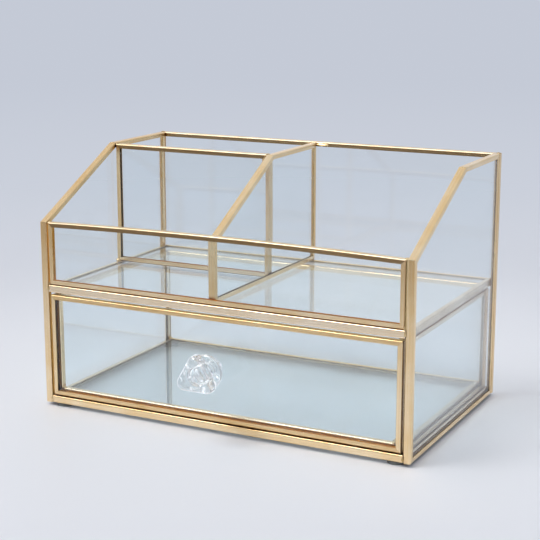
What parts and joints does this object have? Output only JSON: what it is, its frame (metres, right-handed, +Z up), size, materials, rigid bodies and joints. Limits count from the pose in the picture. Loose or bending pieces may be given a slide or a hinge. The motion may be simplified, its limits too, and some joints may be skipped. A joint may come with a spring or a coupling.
{
  "type": "cosmetic organizer box",
  "caption": "Glass cosmetic organizer box edged in brass channel, with open sloped compartments on top and a wide sliding drawer with a clear crystal knob below.",
  "frame": {"origin": "on the table, under the middle of the whole part's outline, knob included", "axes": "+X to the right along the drawer front, +Y to the back panel, +Z up"},
  "size_m": [0.2516, 0.1774, 0.161],
  "materials": {
    "brass": "satin antique brass",
    "glass": "clear polished",
    "crystal": "clear polished",
    "pad": "matt soft"
  },
  "bodies": {
    "cabinet": {"back_bottom_rail": "brass", "back_glass": "glass", "back_posts": "brass", "back_top_rail": "brass", "base_front_rail": "brass", "base_glass": "glass", "base_rear_rail": "brass", "base_side_rails": "brass", "foot_pads": "pad", "left_bottom_rail": "brass", "left_front_post": "brass", "left_rear_post": "brass", "left_side_glass": "glass", "left_slope_rail": "brass", "left_top_rail": "brass", "middle_divider_bottom_rail": "brass", "middle_divider_front_stile": "brass", "middle_divider_glass": "glass", "middle_divider_rear_stile": "brass", "middle_divider_slope_rail": "brass", "middle_divider_top_rail": "brass", "rear_divider_bottom_rail": "brass", "rear_divider_glass": "glass", "rear_divider_stiles": "brass", "rear_divider_top_rail": "brass", "right_bottom_rail": "brass", "right_front_post": "brass", "right_rear_post": "brass", "right_side_glass": "glass", "right_slope_rail": "brass", "right_top_rail": "brass", "shelf_front_rail": "brass", "shelf_glass": "glass", "shelf_rear_rail": "brass", "shelf_side_rails": "brass", "upper_front_bottom_rail": "brass", "upper_front_glass": "glass", "upper_front_stiles": "brass", "upper_front_top_rail": "brass"},
    "drawer": {"drawer_back_bottom_rail": "brass", "drawer_back_glass": "glass", "drawer_back_stiles": "brass", "drawer_back_top_rail": "brass", "drawer_floor_front_rail": "brass", "drawer_floor_glass": "glass", "drawer_floor_rear_rail": "brass", "drawer_floor_side_rails": "brass", "drawer_front_bottom_rail": "brass", "drawer_front_glass": "glass", "drawer_front_left_stile": "brass", "drawer_front_right_stile": "brass", "drawer_front_top_rail": "brass", "drawer_left_glass": "glass", "drawer_right_glass": "glass", "drawer_side_bottom_rails": "brass", "drawer_side_front_stiles": "brass", "drawer_side_rear_stiles": "brass", "drawer_side_top_rails": "brass", "crystal_knob": "crystal"}
  },
  "joints": [
    {"name": "drawer_slide", "type": "slide", "parent": "cabinet", "child": "drawer", "axis": [0, -1, 0], "range_m": [0, 0.12]}
  ]
}
